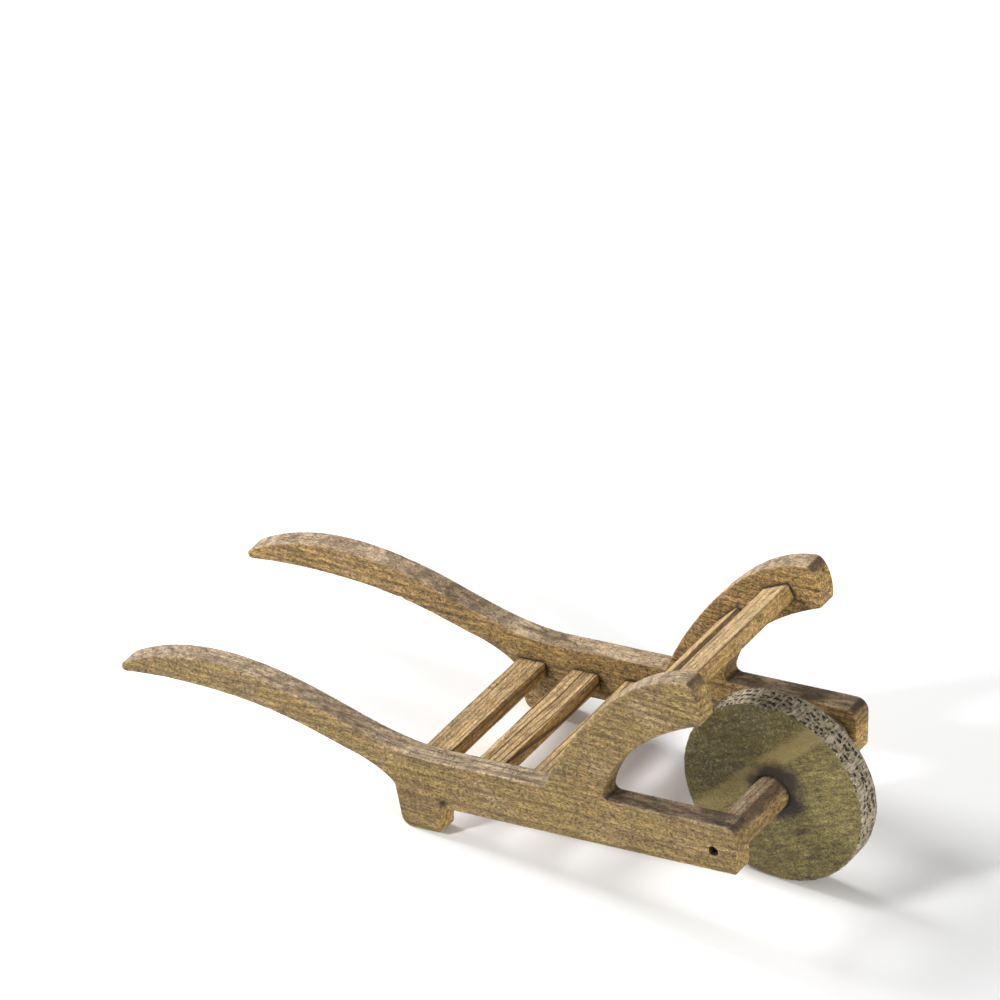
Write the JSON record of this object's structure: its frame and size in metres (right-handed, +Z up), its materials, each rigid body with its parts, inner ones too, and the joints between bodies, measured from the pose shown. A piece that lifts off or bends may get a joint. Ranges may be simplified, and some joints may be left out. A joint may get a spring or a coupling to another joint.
{
  "type": "wooden wheelbarrow",
  "caption": "Small wooden wheelbarrow with curved side planks, a slatted deck and headboard, short legs and a solid wooden wheel on a round axle.",
  "frame": {"origin": "on the ground under the middle of the overall length, on the centre plane", "axes": "+X forwards towards the wheel, +Y to the left side, +Z up; it stands on its wheel and its two legs at z = 0"},
  "size_m": [0.569, 0.188, 0.2068],
  "materials": {
    "plank_wood": "sawn pine, aged to a dull tan brown, with softened edges",
    "slat_wood": "weathered softwood with strong straight grain, orange brown on the edges",
    "dowel_wood": "smooth beech dowel, hidden in the joints",
    "wheel_wood": "olive grey stained wood, rough and pitted on the tread",
    "axle_wood": "round wooden bar, aged",
    "screw_steel": "dulled steel wood screw"
  },
  "bodies": {
    "frame": {"right_side_plank": "plank_wood", "left_side_plank": "plank_wood", "deck_slat_rear": "slat_wood", "deck_slat_middle": "slat_wood", "deck_slat_front": "slat_wood", "headboard_slat_lower": "slat_wood", "headboard_slat_upper": "slat_wood", "deck_dowels_rear": "dowel_wood", "deck_dowels_middle": "dowel_wood", "deck_dowels_front": "dowel_wood", "headboard_dowels_lower": "dowel_wood", "headboard_dowels_upper": "dowel_wood"},
    "wheel_set": {"wheel": "wheel_wood", "axle": "axle_wood", "axle_screw_right": "screw_steel", "axle_screw_left": "screw_steel"}
  },
  "joints": [
    {"name": "wheel_spin", "type": "hinge", "parent": "frame", "child": "wheel_set", "pos_m": [0.2115, 0, 0.073], "axis": [0, 1, 0], "continuous": true}
  ]
}
